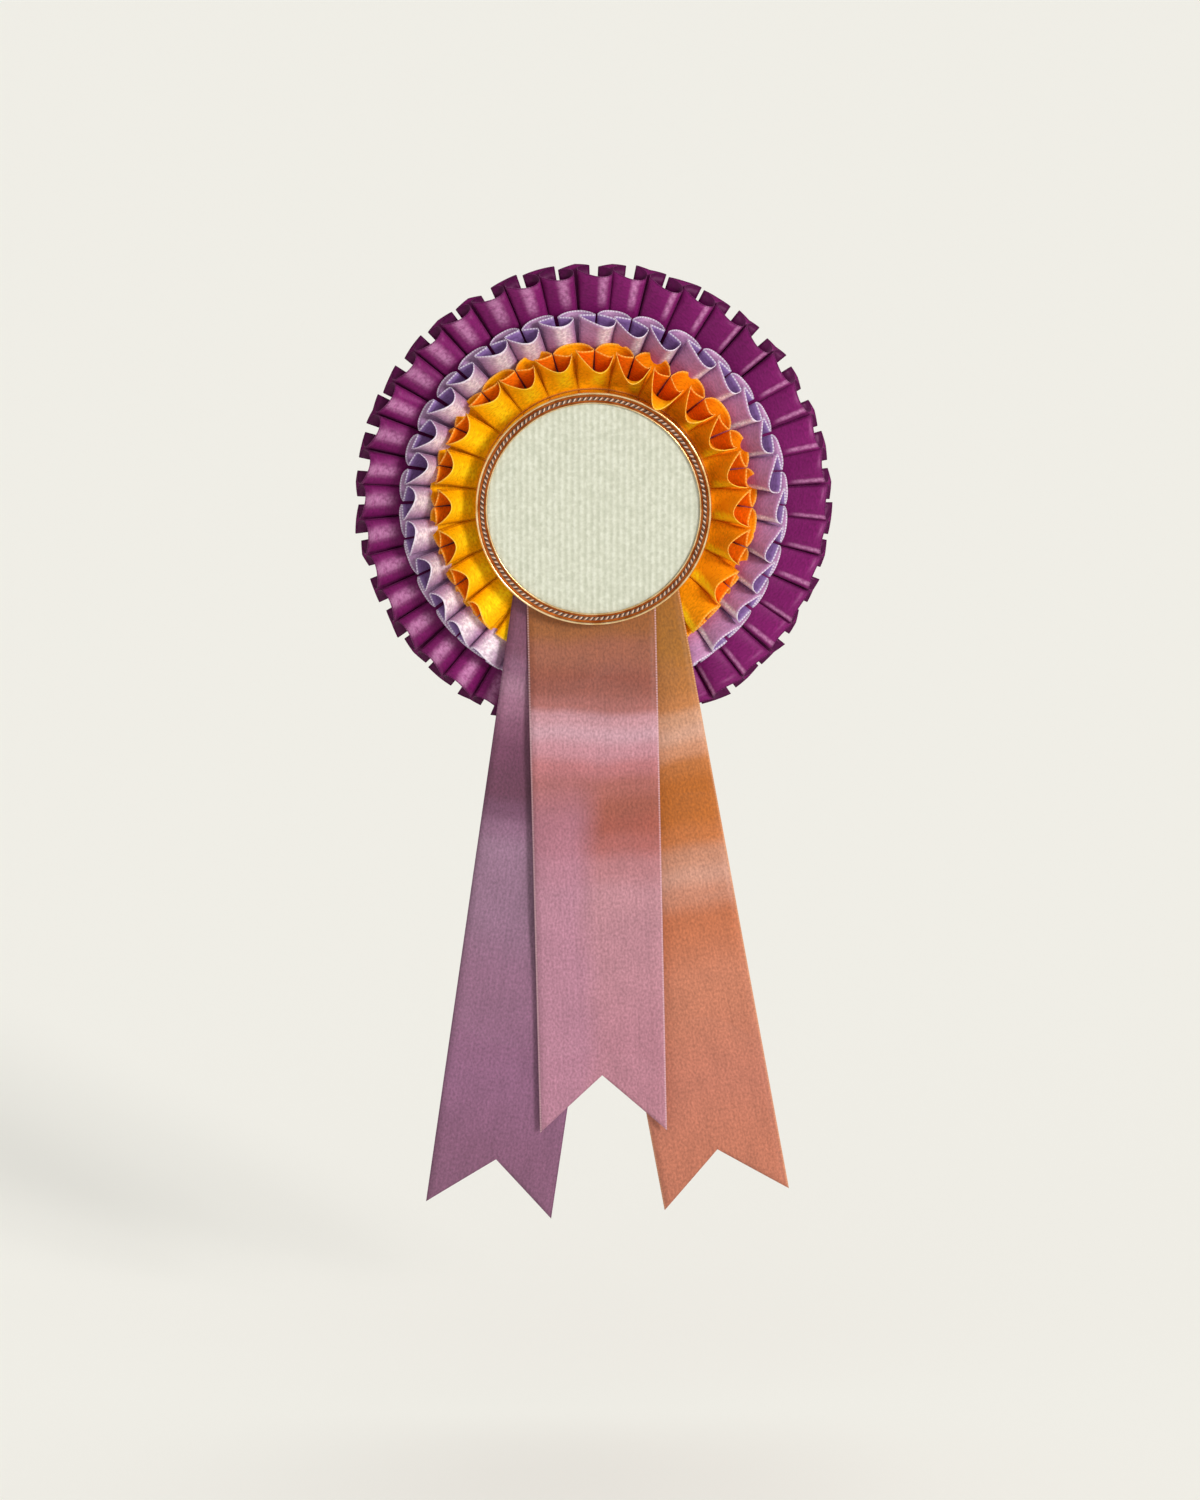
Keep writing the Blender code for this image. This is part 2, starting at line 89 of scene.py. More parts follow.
SATIN = 0.2 * MM
SELVEDGE, SELVEDGE_RIB = 0.55 * MM, 0.75 * MM  # width of the woven edge and spacing of its ribs
CORD_INSET = 1.9 * MM  # cord's middle from the ring's outside
STITCHED_EDGE = BOARD_RADIUS - 1.6 * MM
FLAT_EDGE = BOARD_RADIUS + 1.0 * MM


# ---------------------------------------------------------------- small helpers


def rgb(hex_code):
    """Linear colour from an sRGB hex code."""
    values = [int(hex_code[i : i + 2], 16) / 255 for i in (1, 3, 5)]
    linear = [v / 12.92 if v <= 0.04045 else ((v + 0.055) / 1.055) ** 2.4 for v in values]
    return (*linear, 1.0)


def put(tree, kind, *inputs, out=0, named=None, **settings):
    """Adds a node, sets it up, feeds its inputs in order or by name, and gives one output."""
    node = tree.nodes.new(kind)
    for key, value in settings.items():
        setattr(node, key, value)
    sockets = [s for s in node.inputs if s.enabled] if inputs else []
    for socket, value in list(zip(sockets, inputs)) + [
        (next(s for s in node.inputs if s.name == key and s.enabled), value)
        for key, value in (named or {}).items()
    ]:
        if value is None:
            continue
        if isinstance(value, bpy.types.NodeSocket):
            tree.links.new(value, socket)
        else:
            socket.default_value = value
    found = [s for s in node.outputs if s.enabled]
    return found[out] if found else node


def placed(name, data=None):
    """A new object at the origin, in the scene."""
    obj = bpy.data.objects.new(name, data or bpy.data.meshes.new(name))
    bpy.context.scene.collection.objects.link(obj)
    return obj


def claim(obj, node):
    """Rides on the rosette and stands for one CAD node."""
    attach(obj, "rosette")
    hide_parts(node)
    return obj


def mesh_of(bm, name, looks, smooth=35):
    """A mesh from a bmesh that is used up, with outward normals."""
    bmesh.ops.recalc_face_normals(bm, faces=bm.faces)
    mesh = bpy.data.meshes.new(name)
    bm.to_mesh(mesh)
    bm.free()
    for look in looks:
        mesh.materials.append(look)
    mesh.shade_smooth()
    if smooth:
        mesh.set_sharp_from_angle(angle=math.radians(smooth))
    return mesh


def solidified(obj, thickness):
    """Gives an open sheet its cloth thickness and keeps the result as its mesh."""
    solid = obj.modifiers.new("cloth thickness", "SOLIDIFY")
    solid.thickness = thickness
    solid.offset = 0
    solid.use_rim = True
    return baked(obj)


def baked(obj):
    """Replaces an object's mesh with what its modifiers make, and removes them."""
    graph = bpy.context.evaluated_depsgraph_get()
    mesh = bpy.data.meshes.new_from_object(obj.evaluated_get(graph), preserve_all_data_layers=True, depsgraph=graph)
    obj.modifiers.clear()
    obj.data = mesh
    return obj


def with_tree(obj, tree, values):
    """Runs a Geometry Nodes tree on an object with named values, and keeps its result as a plain mesh."""
    modifier = obj.modifiers.new(tree.name, "NODES")
    modifier.node_group = tree
    for item in tree.interface.items_tree:
        if item.item_type == "SOCKET" and item.in_out == "INPUT" and item.name in values:
            modifier[item.identifier] = values[item.name]
    bpy.context.view_layer.update()
    return baked(obj)


def new_tree(name, inputs):
    """An empty Geometry Nodes tree with named inputs, its group input node and its output."""
    tree = bpy.data.node_groups.new(name, "GeometryNodeTree")
    tree.interface.new_socket("Geometry", in_out="INPUT", socket_type="NodeSocketGeometry")
    for label, kind in inputs.items():
        tree.interface.new_socket(label, in_out="INPUT", socket_type=f"NodeSocket{kind}")
    tree.interface.new_socket("Geometry", in_out="OUTPUT", socket_type="NodeSocketGeometry")
    given = tree.nodes.new("NodeGroupInput")
    result = tree.nodes.new("NodeGroupOutput")
    return tree, given, result


# ---------------------------------------------------------------- materials

# the change of a tier's colours from left to right partly paints the light falling from one side
SIDE_TO_SIDE = 45 * MM  # how far from the middle a colour has changed from its left to its right value


def shader(name):
    """A new material with its tree and Principled node."""
    made = bpy.data.materials.new(name)
    made.use_nodes = True
    tree = made.node_tree
    return made, tree, tree.nodes["Principled BSDF"]


def feed(tree, bsdf, **values):
    """Sets or links inputs of the Principled node, by name with _ for a space."""
    for key, value in values.items():
        socket = bsdf.inputs[key.replace("_", " ")]
        if isinstance(value, bpy.types.NodeSocket):
            tree.links.new(value, socket)
        else:
            socket.default_value = value


def filled_ramp(colour, stops, interpolation="LINEAR"):
    """Fills a colour ramp, given by its output, with (place, hex) stops."""
    band = colour.node.color_ramp
    band.interpolation = interpolation
    while len(band.elements) > 1:
        band.elements.remove(band.elements[-1])
    for count, (place, code) in enumerate(stops):
        element = band.elements[0] if not count else band.elements.new(place)
        element.position = place
        element.color = rgb(code)
    return colour


def weave(tree, uv, bsdf, colour, width, roughness, selvedge, strength=0.3):
    """Satin ribbon cloth: long warp floats in bundles, a broken grain, a ribbed selvedge and an uneven gloss.

    The grain of real satin is about 0.2 mm, which is too fine to show, so it is drawn three times as coarse.
    """
    add = functools.partial(put, tree)
    along = add("ShaderNodeSeparateXYZ", uv)
    across = along.node.outputs[1]
    # features a metre along and across the ribbon: the grain, the warp bundles and the cloudy gloss
    grain, bundles, cloudy = (
        add(
            NOISE,
            named={"Vector": add("ShaderNodeMapping", uv, named={"Scale": scale}), "Scale": 1.0, "Detail": detail},
        )
        for scale, detail in (((1100, 1500, 1.0), 3.0), ((25, 1100, 1.0), 2.0), ((110, 160, 1.0), 3.0))
    )
    middle = add(MATH, across, -width / 2, operation="ADD")
    middle = add(MATH, middle, operation="ABSOLUTE")
    edge = add(RANGE, middle, width / 2 - SELVEDGE, width / 2 - SELVEDGE + 0.25 * MM, 0.0, 1.0, clamp=True)
    rib = add(MATH, along, 2 * math.pi / SELVEDGE_RIB, operation="MULTIPLY")
    rib = add(MATH, rib, operation="SINE")
    rib = add(RANGE, rib, -0.6, 0.6, 0.35, 1.0, clamp=True)
    stitch = add(MATH, edge, rib, operation="MULTIPLY")
    shade = add(RANGE, grain, 0.3, 0.7, 0.76, 1.24, clamp=True)
    line = add(RANGE, bundles, 0.3, 0.7, 0.94, 1.06, clamp=True)
    cloud = add(RANGE, cloudy, 0.3, 0.7, 0.93, 1.07, clamp=True)
    shade = add(MATH, shade, line, operation="MULTIPLY")
    shade = add(MATH, shade, cloud, operation="MULTIPLY")
    lit = add("ShaderNodeVectorMath", colour, operation="SCALE", named={"Scale": shade})
    amount = add(MATH, stitch, selvedge[1], operation="MULTIPLY")
    lit = add("ShaderNodeMix", data_type="RGBA", named={"Factor": amount, "A": lit, "B": rgb(selvedge[0])})
    height = add(MATH, bundles, 0.8, operation="MULTIPLY")
    height = add(MATH, grain, 1.5, height, operation="MULTIPLY_ADD")
    height = add(MATH, stitch, 1.2, height, operation="MULTIPLY_ADD")
    bump = add("ShaderNodeBump", named={"Strength": strength, "Distance": 0.09 * MM, "Height": height})
    rough = add(RANGE, cloudy, 0.3, 0.7, *roughness, clamp=True)
    rough = add(MATH, edge, 0.2, rough, operation="MULTIPLY_ADD")
    feed(tree, bsdf, Base_Color=lit, Roughness=rough, Normal=bump)


def pleat_satin(name, width, front, inside, selvedge, gleam, fold, tint=None):
    """Woven polyester satin of a pleated tier: glossy warp face, and a deeper colour inside the folds that is
    partly its reverse side and partly painted shade.

    front is the colour at the left and at the right, a change across the rosette that partly paints the side light.
    inside is the deeper colour of the folds. gleam is a painted highlight, a pale band on each front panel:
    (colour, half width at the left, at the right, strength, where it starts). It lies on the middle of a panel at
    the left and beside its fold at the right. fold is painted shade along the fold line between panels: (colour,
    strength at the left, at the right). tint is a painted reflection of the next tier's colour, near that tier:
    (colour, from, to).
    """
    made, tree, bsdf = shader(name)
    add = functools.partial(put, tree)
    uv = add("ShaderNodeUVMap", uv_map="ribbon")
    face, share, offset, tone = (
        add("ShaderNodeAttribute", out=2, attribute_name=label) for label in ("face", "share", "offset", "tone")
    )
    place = add("ShaderNodeSeparateXYZ", add("ShaderNodeTexCoord", out=3))
    right = add(RANGE, place, -SIDE_TO_SIDE, SIDE_TO_SIDE, 0.0, 1.0, interpolation_type="SMOOTHSTEP")
    out = add(MATH, offset, operation="ABSOLUTE")
    on_front = add(MATH, face, 0.95, operation="GREATER_THAN")
    # partly painted side light: the front colour changes from its left to its right value across the rosette
    cloth = add("ShaderNodeMix", data_type="RGBA", named={"Factor": right, "A": rgb(front[0]), "B": rgb(front[1])})
    # painted reflection: the next tier's colour is mixed in near it, more at the right
    if tint:
        near = add(RANGE, share, tint[1], tint[2], 1.0, 0.0, interpolation_type="SMOOTHSTEP")
        cloth = add(
            "ShaderNodeMix",
            data_type="RGBA",
            named={
                "Factor": add(
                    MATH, near, add(MATH, right, 0.6, 0.4, operation="MULTIPLY_ADD"), operation="MULTIPLY",
                ),
                "A": cloth,
                "B": rgb(tint[0]),
            },
        )
    # painted highlight: a pale band on each front panel, broad on its middle at the left and narrow beside its fold
    # at the right, broken up by noise
    reach = add(MATH, right, gleam[2] - gleam[1], gleam[1], operation="MULTIPLY_ADD")
    aside = add(
        MATH,
        add(MATH, right, -0.37, add(MATH, tone, 0.05, offset, operation="MULTIPLY_ADD"), operation="MULTIPLY_ADD"),
        operation="ABSOLUTE",
    )
    bright = add(
        MATH,
        1.0,
        add(MATH, add(MATH, aside, reach, operation="DIVIDE"), 1.0, operation="MINIMUM"),
        operation="SUBTRACT",
    )
    bright = add(
        MATH,
        add(RANGE, bright, 0.0, 0.9, 0.0, gleam[3], interpolation_type="SMOOTHSTEP"),
        add(RANGE, share, gleam[4], gleam[4] + 0.12, 0.0, 1.0, interpolation_type="SMOOTHSTEP"),
        operation="MULTIPLY",
    )
    highlight_mottle = add(
        NOISE,
        named={
            "Vector": add("ShaderNodeMapping", uv, named={"Scale": (900, 620, 1.0)}), "Scale": 1.0, "Detail": 3.0,
        },
    )
    bright = add(
        MATH,
        bright,
        add(RANGE, highlight_mottle, 0.34, 0.6, 0.5, 1.0, interpolation_type="SMOOTHSTEP"),
        operation="MULTIPLY",
    )
    cloth = add(
        "ShaderNodeMix",
        data_type="RGBA",
        named={"Factor": add(MATH, bright, on_front, operation="MULTIPLY"), "A": cloth, "B": rgb(gleam[0])},
    )
    # painted shade: a darker line along the fold between front panels, its strength changing from left to right
    painted_fold_shade = add(RANGE, out, 0.435, 0.468, 0.0, 1.0, interpolation_type="SMOOTHSTEP")
    painted_fold_shade = add(
        MATH, painted_fold_shade, add(MATH, right, fold[2] - fold[1], fold[1], operation="MULTIPLY_ADD"), operation="MULTIPLY",
    )
    cloth = add(
        "ShaderNodeMix",
        data_type="RGBA",
        named={"Factor": add(MATH, painted_fold_shade, on_front, operation="MULTIPLY"), "A": cloth, "B": rgb(fold[0])},
    )
    # the inside colour wherever the face value is below 1: the satin's reverse side inside the folds, darker partly
    # as painted shade, and painted shade on the rear panels
    cloth = add("ShaderNodeMix", data_type="RGBA", named={"Factor": face, "A": rgb(inside), "B": cloth})
    cloth = add(
        "ShaderNodeVectorMath",
        cloth,
        operation="SCALE",
        named={"Scale": add(MATH, tone, 0.1, 1.0, operation="MULTIPLY_ADD")},
    )
    weave(tree, uv, bsdf, cloth, width, (0.36, 0.5), selvedge)
    bsdf.inputs["Sheen Weight"].default_value = 0.2
    bsdf.inputs["Sheen Roughness"].default_value = 0.4
    bsdf.inputs["Sheen Tint"].default_value = rgb(gleam[0])
    bsdf.inputs["Specular Tint"].default_value = rgb(gleam[0])
    bsdf.inputs["Anisotropic"].default_value = 0.5
    return made


def tail_satin(name, width, stops, length, selvedge, side=None):
    """Woven polyester satin of a tail, its colour drifting in bands along the ribbon: painted highlight and shade
    for its drape, darker at the top as painted shadow.

    side is a cooler colour down one edge: (colour, from, to across the width, strength).
    """
    made, tree, bsdf = shader(name)
    add = functools.partial(put, tree)
    uv = add("ShaderNodeUVMap", uv_map="ribbon")
    parts = add("ShaderNodeSeparateXYZ", uv)
    across = parts.node.outputs[1]
    wander = add(
        NOISE,
        named={"Vector": add("ShaderNodeMapping", uv, named={"Scale": (30, 30, 1.0)}), "Scale": 1.0, "Detail": 2.0},
    )
    wander = add(MATH, wander, -0.5, operation="ADD")
    drifted = add(MATH, wander, 9 * MM, parts, operation="MULTIPLY_ADD")
    factor = add(MATH, drifted, length, operation="DIVIDE")
    # painted highlight and shade: bands of colour along the tail where its drape would catch or lose the light
    cloth = filled_ramp(add("ShaderNodeValToRGB", factor), [(mm * MM / length, code) for mm, code in stops], "EASE")
    if side:
        place = add(MATH, wander, 14 * MM, across, operation="MULTIPLY_ADD")
        near = add(RANGE, place, side[1] * MM, side[2] * MM, side[3], 0.0, interpolation_type="SMOOTHSTEP")
        begun = add(RANGE, parts, 62 * MM, 84 * MM, 0.0, 1.0, interpolation_type="SMOOTHSTEP")
        cloth = add(
            "ShaderNodeMix",
            data_type="RGBA",
            named={"Factor": add(MATH, near, begun, operation="MULTIPLY"), "A": cloth, "B": rgb(side[0])},
        )
    weave(tree, uv, bsdf, cloth, width, (0.5, 0.62), selvedge)
    bsdf.inputs["Specular IOR Level"].default_value = 0.35
    bsdf.inputs["Sheen Weight"].default_value = 0.15
    bsdf.inputs["Sheen Roughness"].default_value = 0.45
    bsdf.inputs["Anisotropic"].default_value = 0.4
    return made


LAID_WIRES = 1.9 * MM  # spacing of the ribs that the mould's wires leave


def laid_card():
    """Cream laid paper of the face: ribs from the mould's wires, soft fibres, no gloss."""
    made, tree, bsdf = shader("cream laid card")
    add = functools.partial(put, tree)
    place = add("ShaderNodeTexCoord", out=3)
    across = add("ShaderNodeSeparateXYZ", place)
    fibres = add(NOISE, named={"Vector": place, "Scale": 1400.0, "Detail": 6.0, "Roughness": 0.7})
    soft = add(NOISE, named={"Vector": place, "Scale": 800.0, "Detail": 4.0})
    wobble = add(MATH, soft, 0.5 * MM, across, operation="MULTIPLY_ADD")
    wire = add(MATH, wobble, 2 * math.pi / LAID_WIRES, operation="MULTIPLY")
    wire = add(MATH, wire, operation="SINE")
    tone = add(MATH, wire, 0.11, soft, operation="MULTIPLY_ADD")
    tone = add(MATH, fibres, 0.5, tone, operation="MULTIPLY_ADD")
    colour = filled_ramp(add("ShaderNodeValToRGB", tone), [(0.48, "#b7baa8"), (0.74, "#c4c6b5"), (1.0, "#d2d4c5")])
    height = add(MATH, fibres, 0.9, wire, operation="MULTIPLY_ADD")
    bump = add("ShaderNodeBump", named={"Strength": 0.45, "Distance": 0.14 * MM, "Height": height})
    feed(tree, bsdf, Base_Color=colour, Roughness=0.85, Normal=bump)
    bsdf.inputs["Specular IOR Level"].default_value = 0.3
    return made


def plated(name, dark, light, roughness, scratch=900.0, bump_depth=0.01):
    """Plated metal: bright, with fine polishing marks and a faint mottling of tarnish."""
    made, tree, bsdf = shader(name)
    add = functools.partial(put, tree)
    place = add("ShaderNodeTexCoord", out=3)
    marks = add(
        NOISE,
        named={
            "Vector": add("ShaderNodeMapping", place, named={"Scale": (0.35, 1.0, 1.0)}),
            "Scale": scratch,
            "Detail": 5.0,
        },
    )
    mottle = add(NOISE, named={"Vector": place, "Scale": 260.0, "Detail": 3.0})
    colour = filled_ramp(add("ShaderNodeValToRGB", mottle), [(0.35, dark), (0.65, light)])
    rough = add(RANGE, marks, 0.3, 0.7, roughness * 0.8, roughness * 1.3, clamp=True)
    bump = add("ShaderNodeBump", named={"Strength": 0.2, "Distance": bump_depth * MM, "Height": marks})
    feed(tree, bsdf, Base_Color=colour, Roughness=rough, Normal=bump, Metallic=1.0)
    return made


def thread_look(name, dark, light, metallic=0.0, roughness=0.5):
    """Spun thread: fine fibres along each ply, and a soft sheen."""
    made, tree, bsdf = shader(name)
    add = functools.partial(put, tree)
    place = add("ShaderNodeTexCoord", out=3)
    fibre = add(NOISE, named={"Vector": place, "Scale": 4200.0, "Detail": 2.0})
    colour = filled_ramp(add("ShaderNodeValToRGB", fibre), [(0.38, dark), (0.62, light)])
    bump = add("ShaderNodeBump", named={"Strength": 0.5, "Distance": 0.04 * MM, "Height": fibre})
    feed(tree, bsdf, Base_Color=colour, Roughness=roughness, Metallic=metallic, Normal=bump)
    bsdf.inputs["Sheen Weight"].default_value = 0.3
    return made


def board_look(name, dark, light, scale=900.0):
    """Pulp board: short fibres and flecks, quite matt."""
    made, tree, bsdf = shader(name)
    add = functools.partial(put, tree)
    place = add("ShaderNodeTexCoord", out=3)
    fibre = add(NOISE, named={"Vector": place, "Scale": scale, "Detail": 6.0, "Roughness": 0.75})
    blotch = add(NOISE, named={"Vector": place, "Scale": 70.0, "Detail": 2.0})
    tone = add(MATH, blotch, 0.35, fibre, operation="MULTIPLY_ADD")
    colour = filled_ramp(add("ShaderNodeValToRGB", tone), [(0.5, dark), (0.85, light)])
    bump = add("ShaderNodeBump", named={"Strength": 0.3, "Distance": 0.05 * MM, "Height": fibre})
    feed(tree, bsdf, Base_Color=colour, Roughness=0.88, Normal=bump)
    bsdf.inputs["Specular IOR Level"].default_value = 0.3
    return made


# ---------------------------------------------------------------- pleated tiers

REAR_FOLD, FRONT_FOLD = 0.045, 0.486  # folds of a pressed box pleat, in pitches from its middle
TURN = 0.012  # how far the round of a fold reaches, in pitches


def half_pleat(notch, half, crease, lobe, corner):
    """Half of one box pleat across the ribbon's run, from the middle of a back panel to that of the front one.

    notch and half are where the rear and front folds stand at the lip; crease, lobe and corner are the lifts of
    the rear fold, of the side between the folds, and of the front fold.
    Each point is (pressed offset, ply, offset at the lip, lift, outer face, parting of the rear folds). The outer
    face value is below 1 on the rear panel, though that panel shows the outer face too: painted shade.
    """
    path = []
    # painted shade: the rear panel's face value falls from 0.85 at its middle towards the rear fold
    for i in range(5):
        share = i / 5
        path.append((
            -0.5 + (0.5 - REAR_FOLD) * share, 0.0, -0.5 + (0.5 - notch) * share,
            crease * share**2.4, 0.85 - 0.6 * share**2, share,
        ))
    path += [
        (-REAR_FOLD, 0.05, -notch, crease, 0.1, 1.0),
        (-REAR_FOLD - TURN, 0.22, -notch * 0.8, crease + 0.04, 0.0, 1.0),
    ]
    for i in range(1, 7):
        share = i / 7
        rise = crease + 0.04 + (corner - 0.09 - crease) * share
        path.append((
            -REAR_FOLD - TURN - (FRONT_FOLD - REAR_FOLD - 0.03) * share, 0.22 + 0.36 * share,
            -notch * 0.8 - (half - notch * 0.8 + 0.006) * math.sin(share * math.pi / 2) ** 1.05,
            rise + (lobe - (crease + corner) / 2) * math.sin(share * math.pi), 0.0, 1 - share,
        ))
    path += [
        (-FRONT_FOLD + 0.006, 0.64, -half - 0.01, corner - 0.05, 0.2, 0),
        (-FRONT_FOLD, 0.74, -half - 0.006, corner + 0.01, 0.7, 0),
    ]
    for i in range(7):
        along = 1 - i / 6
        bow = math.sqrt(max(1 - along**2.0, 0))
        path.append((
            -(FRONT_FOLD - TURN) * along, 0.82 + 0.18 * (1 - along * along),
            -(half - 0.006) * along, corner + 0.05 + (0.95 - corner) * (0.6 * (1 - along * along) + 0.4 * bow),
            1.0, 0,
        ))
    return path


def unit_pleat(name, width, lip, rows=12):
    """A helper mesh of one pleat in (pressed offset, share of the width, 0), with attributes for the tree."""
    half = half_pleat(*lip)
    path = half + [(-s, d, -e, lift, face, -part) for s, d, e, lift, face, part in reversed(half[:-1])]
    flat = (FLAT_EDGE - STITCHED_EDGE) / width
    shares = [0.0, flat * 0.5] + [flat + (1 - flat) * i / rows for i in range(rows + 1)]
    mesh = bpy.data.meshes.new(name)
    columns = len(path)
    points = [(point[0], share, 0) for share in shares for point in path]
    faces = [
        (r * columns + c, r * columns + c + 1, (r + 1) * columns + c + 1, (r + 1) * columns + c)
        for r in range(len(shares) - 1)
        for c in range(columns - 1)
    ]
    mesh.from_pydata(points, [], faces)
    pitch, rise = 9 * MM, 8 * MM  # of an open pleat at its lip, about, for the cloth's run
    runs = [0.0]
    for here, there in zip(path, path[1:]):
        runs.append(runs[-1] + math.hypot((there[2] - here[2]) * pitch, (there[3] - here[3]) * rise))
    labels = {"offset": 0, "ply": 1, "lip": 2, "lift": 3, "face": 4, "parting": 5}
    for label, place in labels.items():
        numbers = [point[place] for _ in shares for point in path]
        mesh.attributes.new(label, "FLOAT", "POINT").data.foreach_set("value", numbers)
    mesh.attributes.new("share", "FLOAT", "POINT").data.foreach_set("value", [s for s in shares for _ in path])
    uv = mesh.uv_layers.new(name="ribbon")
    for loop in mesh.loops:
        row, column = divmod(loop.vertex_index, columns)
        uv.data[loop.index].uv = (runs[column], shares[row] * width)
    return placed(name, mesh)


# nodes and weights of a four-point Gauss rule on 0 to 1
GAUSS = ((0.06943, 0.17393), (0.33001, 0.32607), (0.66999, 0.32607), (0.93057, 0.17393))


def pleat_tree():
    """Sets one pleat round the stitched edge and tilts each panel forwards by its place on the circle."""
    tree, given, result = new_tree(
        "box pleats",
        {
            "Pleat": "Object", "Pleats": "Int", "Seed": "Int", "Satin": "Material",
            **dict.fromkeys(
                (
                    "Stitched radius", "Flat share", "Ribbon width", "Rear", "Layer", "Lean", "Opening", "Curl",
                    "Take up", "Wide at", "Wide gain", "Narrow at", "Narrow loss", "Parting", "Saw", "Unevenness",
                    "Swing", "Swirl", "Slant", "Open to", "Flat from", "Pressed", "Centre height",
                ),
                "Float",
            ),
        },
    )
    want = given.outputs
    add = functools.partial(put, tree)
    line = add("GeometryNodeMeshLine", named={"Count": want["Pleats"]})
    shape = add("GeometryNodeObjectInfo", want["Pleat"], out=-1)
    copies = add("GeometryNodeInstanceOnPoints", line, named={"Instance": shape})
    numbered = add(
        "GeometryNodeStoreNamedAttribute",
        copies,
        data_type="INT",
        domain="INSTANCE",
        named={"Name": "pleat", "Value": add("GeometryNodeInputIndex")},
    )
    cloth = add("GeometryNodeRealizeInstances", numbered)
    pleat, offset, ply, lip, lift, share, parting = (
        add(
            "GeometryNodeInputNamedAttribute",
            named={"Name": label},
            data_type="INT" if label == "pleat" else "FLOAT",
        )
        for label in ("pleat", "offset", "ply", "lip", "lift", "share", "parting")
    )
    # a fixed number from -1 to 1 for each pleat, by what it is for
    chance = {
        use: add(
            "FunctionNodeRandomValue",
            data_type="FLOAT",
            named={"Min": -1.0, "Max": 1.0, "ID": pleat, "Seed": add(MATH, want["Seed"], shift, operation="ADD")},
        )
        for use, shift in (
            ("swing", 7.0), ("parting", 11.0), ("tilt", 3.0),
            ("near side", 17.0), ("both sides", 19.0), ("tone", 23.0),
        )
    }
    free = add(RANGE, share, want["Flat share"], 1.0, 0.0, 1.0)
    free_width = add(
        MATH, want["Ribbon width"], add(MATH, 1.0, want["Flat share"], operation="SUBTRACT"), operation="MULTIPLY",
    )
    pitch = add(MATH, 2 * math.pi, want["Pleats"], operation="DIVIDE")
    # folds move from their pressed places at the stitches to their open places at the lip
    opened = add(MATH, free, 0.8, operation="POWER")
    moved = add(
        MATH,
        offset,
        add(MATH, opened, add(MATH, lip, offset, operation="SUBTRACT"), operation="MULTIPLY"),
        operation="ADD",
    )
    lift = add(MATH, lift, add(MATH, lip, want["Slant"], 1.0, operation="MULTIPLY_ADD"), operation="MULTIPLY")
    swing = add(MATH, chance["swing"], want["Swing"], want["Swirl"], operation="MULTIPLY_ADD")
    swing = add(
        MATH,
        add(MATH, swing, lift, operation="MULTIPLY"),
        add(MATH, free, 1.5, operation="POWER"),
        operation="MULTIPLY",
    )
    split = add(MATH, chance["parting"], 0.95, 0.95, operation="MULTIPLY_ADD")
    part = add(
        MATH,
        add(MATH, parting, split, operation="MULTIPLY"),
        add(MATH, free, want["Parting"], operation="MULTIPLY"),
        operation="MULTIPLY",
    )
    moved = add(
        MATH,
        add(MATH, moved, swing, operation="ADD"),
        add(MATH, part, -1.0, operation="MULTIPLY"),
        operation="ADD",
    )
    angle = add(MATH, add(MATH, pleat, moved, operation="ADD"), pitch, operation="MULTIPLY")
    away = add(MATH, add(MATH, angle, math.pi, -math.pi, operation="WRAP"), operation="ABSOLUTE")
    openness = add(
        RANGE, away, want["Flat from"], want["Open to"], want["Pressed"], 1.0, interpolation_type="SMOOTHSTEP",
    )

    def lobe(place, amount):
        """A smooth rise about one place on the circle."""
        near = add(
            MATH,
            add(MATH, add(MATH, angle, want[place], operation="SUBTRACT"), operation="COSINE"),
            0.0,
            operation="MAXIMUM",
        )
        return add(MATH, add(MATH, near, 3.0, operation="POWER"), want[amount], operation="MULTIPLY")

    spread = add(
        MATH,
        add(MATH, 1.0, lobe("Wide at", "Wide gain"), operation="ADD"),
        lobe("Narrow at", "Narrow loss"),
        operation="SUBTRACT",
    )
    uneven = add(MATH, chance["tilt"], want["Unevenness"], spread, operation="MULTIPLY_ADD")
    tilt = add(MATH, add(MATH, want["Opening"], uneven, operation="MULTIPLY"), lift, operation="MULTIPLY")
    tilt = add(MATH, add(MATH, want["Lean"], tilt, operation="ADD"), openness, operation="MULTIPLY")
